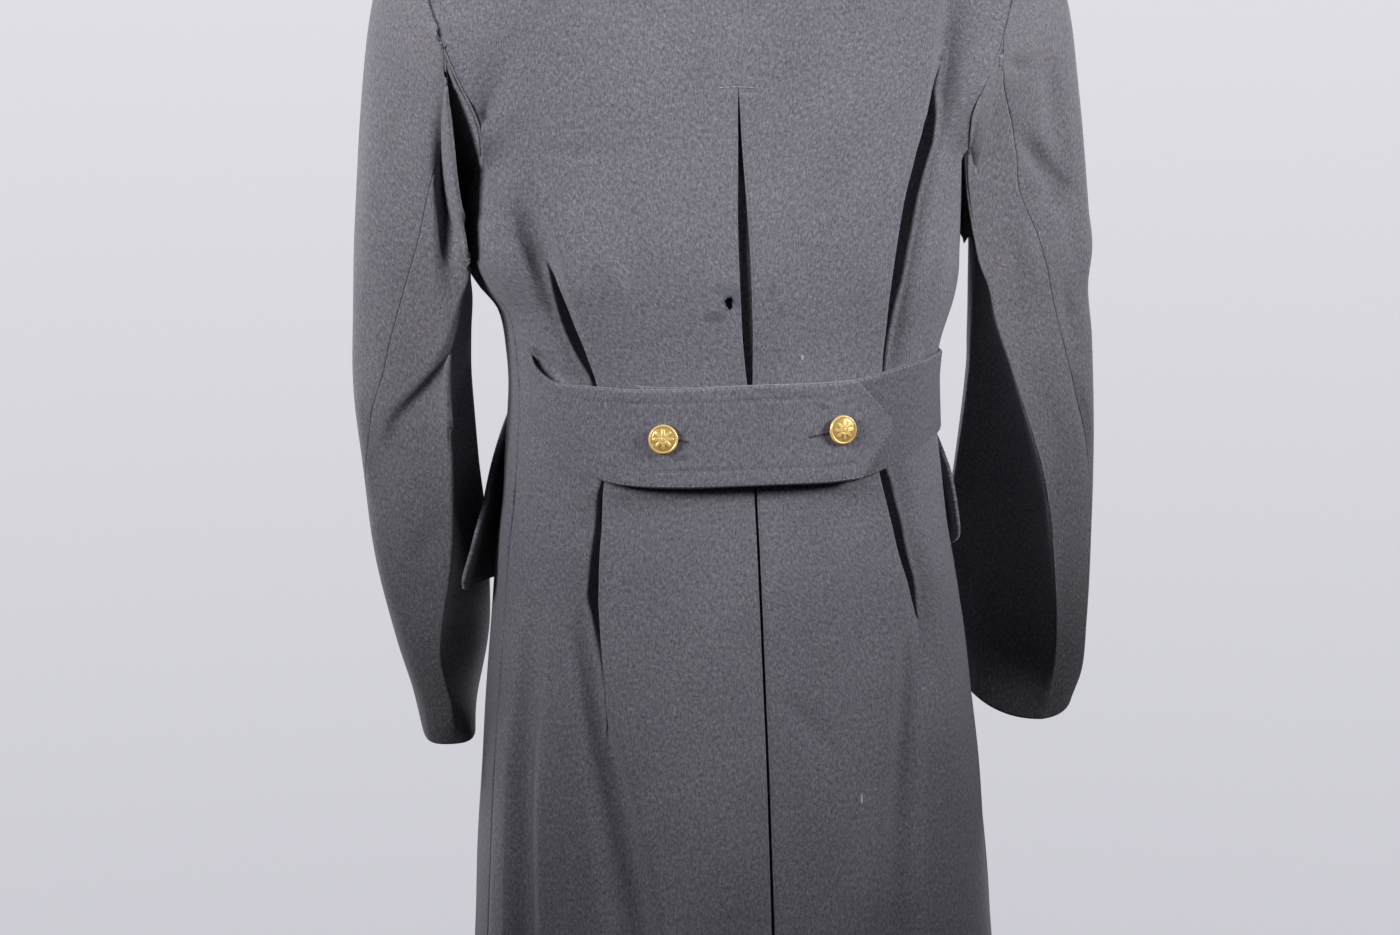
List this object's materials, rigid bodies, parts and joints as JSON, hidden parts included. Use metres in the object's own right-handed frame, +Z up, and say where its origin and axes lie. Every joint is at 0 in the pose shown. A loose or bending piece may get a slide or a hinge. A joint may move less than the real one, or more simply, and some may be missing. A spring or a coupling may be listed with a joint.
{
  "type": "military overcoat",
  "caption": "Hollow double-breasted wool greatcoat with an inverted back pleat, a buttoned half belt and plain sleeves, filled out as when worn.",
  "frame": {"origin": "middle of the neck opening, level with the nape", "axes": "+Z up, the back faces +Y, the wearer's left is +X"},
  "size_m": [0.6593, 0.3608, 1.2302],
  "materials": {
    "wool": "matte felted wool, mottled blue-grey",
    "gilt": "bright gilt"
  },
  "bodies": {
    "root": {"back_left": "wool", "back_right": "wool", "back_pleat_underlay": "wool", "front_left": "wool", "front_right": "wool", "sleeve_left_top": "wool", "sleeve_left_under": "wool", "sleeve_right_top": "wool", "sleeve_right_under": "wool", "collar": "wool", "half_belt_left": "wool", "half_belt_right": "wool", "pocket_flap_left": "wool", "pocket_flap_right": "wool", "belt_button_left": "gilt", "belt_button_right": "gilt", "front_button_left_1": "gilt", "front_button_left_2": "gilt", "front_button_left_3": "gilt", "front_button_left_4": "gilt", "front_button_right_1": "gilt", "front_button_right_2": "gilt", "front_button_right_3": "gilt", "front_button_right_4": "gilt"}
  },
  "joints": []
}
